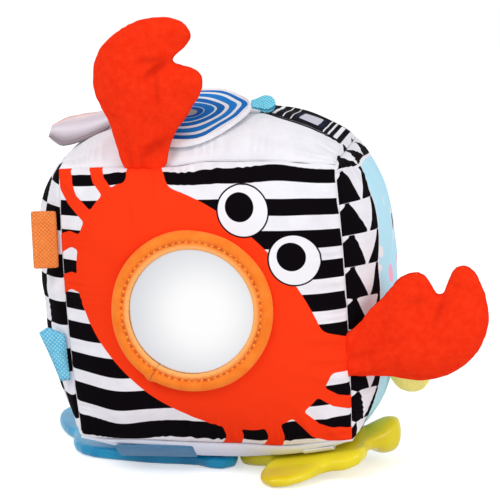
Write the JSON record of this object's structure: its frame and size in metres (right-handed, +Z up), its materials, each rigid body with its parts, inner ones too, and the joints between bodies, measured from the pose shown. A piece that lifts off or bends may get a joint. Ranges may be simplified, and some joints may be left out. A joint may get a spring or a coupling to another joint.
{
  "type": "soft activity block",
  "caption": "Soft stuffed fabric cube with a round mirror, two plush claws, crinkle flaps, ribbon tags, two chewable teethers and a rattle inside.",
  "frame": {"origin": "middle of the flat patch under the block, on the surface that it stands on", "axes": "+Z up, -Y towards the face with the mirror, +X to that face's right"},
  "size_m": [0.2363, 0.1819, 0.2283],
  "materials": {
    "print_cloth": "matte",
    "plush_red": "matte",
    "ring_cloth": "matte",
    "fibre": "matte",
    "flap_cloth": "matte",
    "satin": "satin",
    "crinkle_film": "gloss",
    "orange_ribbon": "satin",
    "blue_ribbon": "satin",
    "cyan_ribbon": "satin",
    "blue_elastomer": "gloss",
    "yellow_elastomer": "satin",
    "velour": "matte",
    "mirror_film": "polished",
    "foam": "matte",
    "shell_plastic": "satin",
    "bead_plastic": "gloss"
  },
  "bodies": {
    "block": {"front_panel": "print_cloth", "back_panel": "print_cloth", "right_panel": "print_cloth", "left_panel": "print_cloth", "top_panel": "print_cloth", "bottom_panel": "print_cloth", "filling_lower": "fibre", "filling_upper": "fibre", "rattle_shell_upper": "shell_plastic", "rattle_shell_lower": "shell_plastic", "rattle_bead_1": "bead_plastic", "rattle_bead_2": "bead_plastic", "rattle_bead_3": "bead_plastic", "mirror_pad": "foam", "mirror_disc": "mirror_film", "mirror_ring": "ring_cloth"},
    "top_claw": {"claw_top_front_cover": "plush_red", "claw_top_back_cover": "plush_red", "claw_top_filling": "fibre"},
    "side_claw": {"claw_side_front_cover": "plush_red", "claw_side_back_cover": "plush_red", "claw_side_filling": "fibre"},
    "ring_flap": {"ring_flap_backing": "print_cloth", "ring_flap_film": "crinkle_film", "ring_flap_cover": "flap_cloth"},
    "pull_loop": {"pull_tag": "cyan_ribbon"},
    "satin_flap": {"satin_flap_backing": "satin", "satin_flap_film": "crinkle_film", "satin_flap_cover": "satin"},
    "orange_loop": {"orange_tag": "orange_ribbon"},
    "blue_ribbon": {"blue_tag": "blue_ribbon"},
    "long_teether": {"blue_teether": "blue_elastomer", "blue_teether_strap": "blue_ribbon"},
    "star": {"star_teether": "yellow_elastomer", "star_teether_strap": "print_cloth"},
    "pod": {"pod_front_cover": "velour", "pod_back_cover": "velour", "pod_filling": "fibre", "pod_tab": "velour"}
  },
  "joints": [
    {"name": "top_claw_seam", "type": "hinge", "parent": "block", "child": "top_claw", "pos_m": [-0.0273, -0.0691, 0.1604], "axis": [1, 0, 0], "range_deg": [-2, 60], "stiffness_Nm_per_rad": 0.01},
    {"name": "side_claw_seam", "type": "hinge", "parent": "block", "child": "side_claw", "pos_m": [0.0732, -0.0692, 0.0635], "axis": [0, 0, 1], "range_deg": [-60, 8], "stiffness_Nm_per_rad": 0.01},
    {"name": "ring_flap_lift", "type": "hinge", "parent": "block", "child": "ring_flap", "pos_m": [-0.0105, -0.0675, 0.1618], "axis": [1, 0, 0], "range_deg": [0, 12]},
    {"name": "pull_loop_bend", "type": "hinge", "parent": "ring_flap", "child": "pull_loop", "pos_m": [0.0209, -0.0276, 0.1801], "axis": [-0.2419, 0.9703, 0], "range_deg": [-12, 4], "stiffness_Nm_per_rad": 0.0001},
    {"name": "satin_flap_bend", "type": "hinge", "parent": "block", "child": "satin_flap", "pos_m": [-0.05, -0.033, 0.172], "axis": [0, 1, 0], "range_deg": [0, 30], "stiffness_Nm_per_rad": 0.0005},
    {"name": "orange_loop_bend", "type": "hinge", "parent": "block", "child": "orange_loop", "pos_m": [-0.0718, -0.0698, 0.119], "axis": [0, 0, 1], "range_deg": [-8, 75]},
    {"name": "blue_ribbon_bend", "type": "hinge", "parent": "block", "child": "blue_ribbon", "pos_m": [-0.0688, -0.0698, 0.061], "axis": [0, 0, 1], "range_deg": [-8, 75]},
    {"name": "long_teether_swing", "type": "hinge", "parent": "block", "child": "long_teether", "pos_m": [-0.031, -0.0695, 0.0184], "axis": [1, 0, 0], "range_deg": [-90, 0]},
    {"name": "star_swing", "type": "hinge", "parent": "block", "child": "star", "pos_m": [0.05, -0.0695, 0.0184], "axis": [1, 0, 0], "range_deg": [-90, 0]},
    {"name": "pod_bend", "type": "hinge", "parent": "block", "child": "pod", "pos_m": [0.0894, -0.027, 0.0525], "axis": [0, 0, 1], "range_deg": [-30, 30], "stiffness_Nm_per_rad": 0.001}
  ]
}
